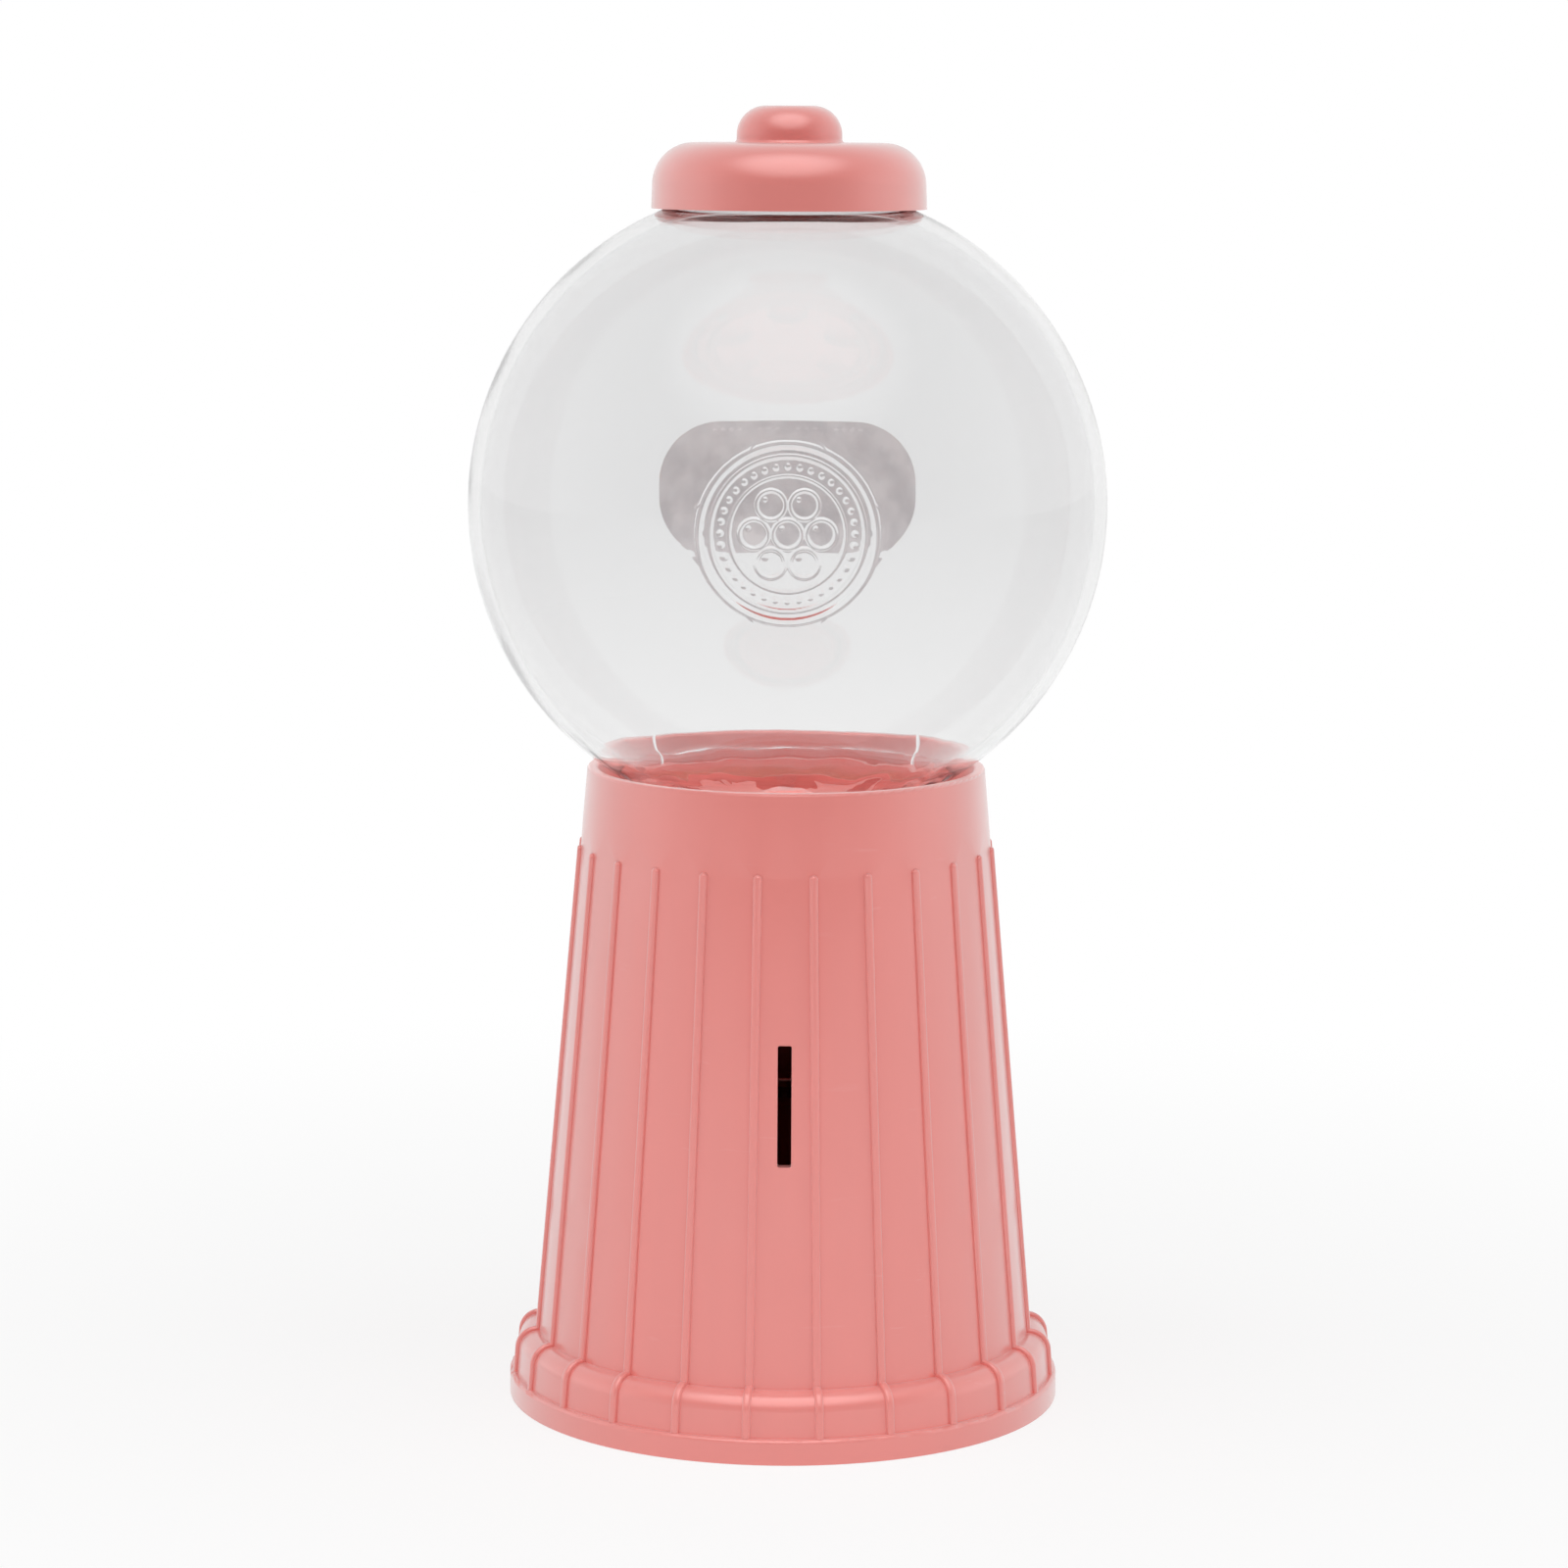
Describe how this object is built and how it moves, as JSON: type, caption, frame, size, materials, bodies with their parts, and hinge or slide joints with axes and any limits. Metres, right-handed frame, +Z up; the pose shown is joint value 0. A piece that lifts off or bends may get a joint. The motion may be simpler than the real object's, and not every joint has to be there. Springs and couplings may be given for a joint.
{
  "type": "gumball machine",
  "caption": "Table-top gumball machine: clear globe with lift-off lid on a ribbed conical base, coin slot and coin bank, crank-turned dispensing wheel, chute with flap.",
  "frame": {"origin": "middle of the base on the table, under the globe's axis", "axes": "+Z up; the coin slot faces -Y; the crank and the chute face +Y; +X to the right seen from the coin slot"},
  "size_m": [0.155, 0.1552, 0.3164],
  "materials": {
    "pink_plastic": "semi-gloss moulded",
    "clear_glass": "clear polished",
    "label_paper": "matt",
    "natural_plastic": "satin moulded",
    "steel": "zinc plated"
  },
  "bodies": {
    "base": {"base_shell": "pink_plastic", "front_panel": "pink_plastic", "hopper": "pink_plastic", "ball_guard": "pink_plastic", "wheel_bush": "natural_plastic", "shaft_bracket": "natural_plastic", "front_bush": "natural_plastic", "chute": "pink_plastic", "chute_hood": "pink_plastic", "flap_pin": "steel", "base_cover": "pink_plastic", "hopper_screws": "steel", "floor_screws": "steel", "cover_screws": "steel"},
    "globe": {"globe": "clear_glass", "globe_label": "label_paper"},
    "lid": {"lid": "pink_plastic"},
    "wheel": {"dispensing_wheel": "pink_plastic", "crown_gear": "natural_plastic", "wheel_screw": "steel"},
    "crank": {"crank_shaft": "steel", "pinion": "natural_plastic", "crank_knob": "pink_plastic", "knob_screw": "steel"},
    "flap": {"chute_flap": "pink_plastic"},
    "coin_door": {"coin_door": "pink_plastic"}
  },
  "joints": [
    {"name": "globe_lift", "type": "slide", "parent": "base", "child": "globe", "axis": [0, 0, 1], "range_m": [0, 0.05]},
    {"name": "lid_lift", "type": "slide", "parent": "globe", "child": "lid", "axis": [0, 0, 1], "range_m": [0, 0.05]},
    {"name": "crank_turn", "type": "hinge", "parent": "base", "child": "crank", "pos_m": [0, 0.05544, 0.11904], "axis": [0, 1, 0], "continuous": true},
    {"name": "wheel_turn", "type": "hinge", "parent": "base", "child": "wheel", "pos_m": [0, 0, 0.132], "axis": [0, 0, 1], "continuous": true},
    {"name": "flap_swing", "type": "hinge", "parent": "base", "child": "flap", "pos_m": [0, 0.06203, 0.08601], "axis": [1, 0, 0], "range_deg": [0, 80]},
    {"name": "coin_door_turn", "type": "hinge", "parent": "base", "child": "coin_door", "pos_m": [0, 0, 0.002], "axis": [0, 0, 1], "range_deg": [0, 60]}
  ],
  "couplings": [
    {"joint": "crank_turn", "follows": "wheel_turn", "ratio": -3}
  ]
}
